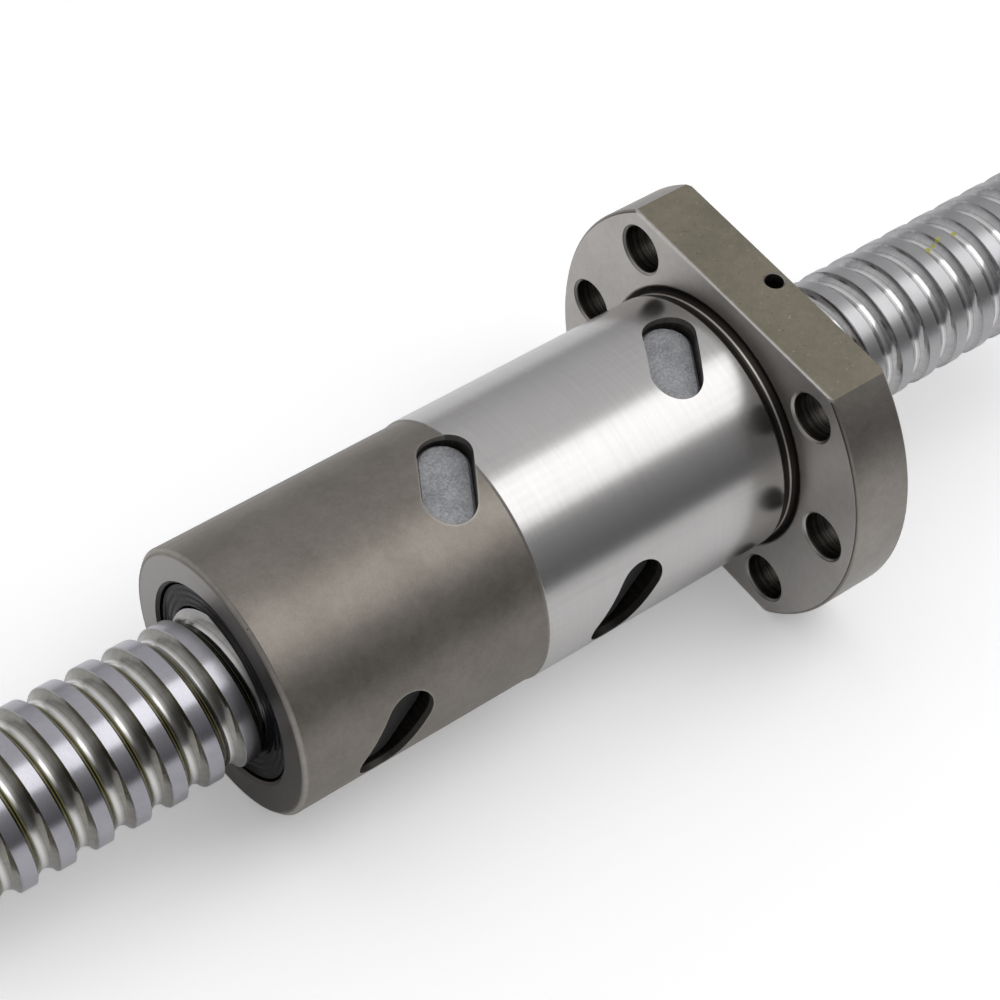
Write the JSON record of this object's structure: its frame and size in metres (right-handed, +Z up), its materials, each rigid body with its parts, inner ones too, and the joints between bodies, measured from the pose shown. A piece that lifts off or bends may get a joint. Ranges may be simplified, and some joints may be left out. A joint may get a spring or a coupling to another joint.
{
  "type": "ball screw nut",
  "caption": "Long flanged ball screw nut on its right-hand screw, with tilted deflectors let into slots, flange flats and an oil port.",
  "frame": {"origin": "centre of the flange's mounting face, on the screw's axis", "axes": "+X along the screw from the nut's free end to the flange, +Z up through the flange's upper flat"},
  "size_m": [0.19, 0.058, 0.044],
  "materials": {
    "nut_steel": "fine ground on the register, dark satin on the free end and flange",
    "screw_steel": "ground and oiled",
    "wiper_plastic": "moulded black",
    "deflector_metal": "matte, as moulded",
    "ball_steel": "polished"
  },
  "bodies": {
    "nut": {"nut_body": "nut_steel", "wiper_free_end": "wiper_plastic", "deflector_a1": "deflector_metal", "deflector_a2": "deflector_metal", "deflector_a3": "deflector_metal", "deflector_a4": "deflector_metal", "deflector_b1": "deflector_metal", "deflector_b2": "deflector_metal", "deflector_b3": "deflector_metal", "deflector_b4": "deflector_metal", "balls_a1": "ball_steel", "balls_a2": "ball_steel", "balls_a3": "ball_steel", "balls_a4": "ball_steel", "balls_b1": "ball_steel", "balls_b2": "ball_steel", "balls_b3": "ball_steel", "balls_b4": "ball_steel"},
    "turning_ring": {"wiper_flange_end": "wiper_plastic"},
    "screw": {"ball_screw": "screw_steel"}
  },
  "joints": [
    {"name": "screw_spin", "type": "hinge", "parent": "nut", "child": "turning_ring", "pos_m": [0, 0, 0], "axis": [1, 0, 0], "range_deg": [-2160, 2160]},
    {"name": "screw_travel", "type": "slide", "parent": "turning_ring", "child": "screw", "axis": [1, 0, 0], "range_m": [-0.03, 0.03]}
  ],
  "couplings": [
    {"joint": "screw_spin", "follows": "screw_travel", "rad_per_m": 1256.6}
  ]
}
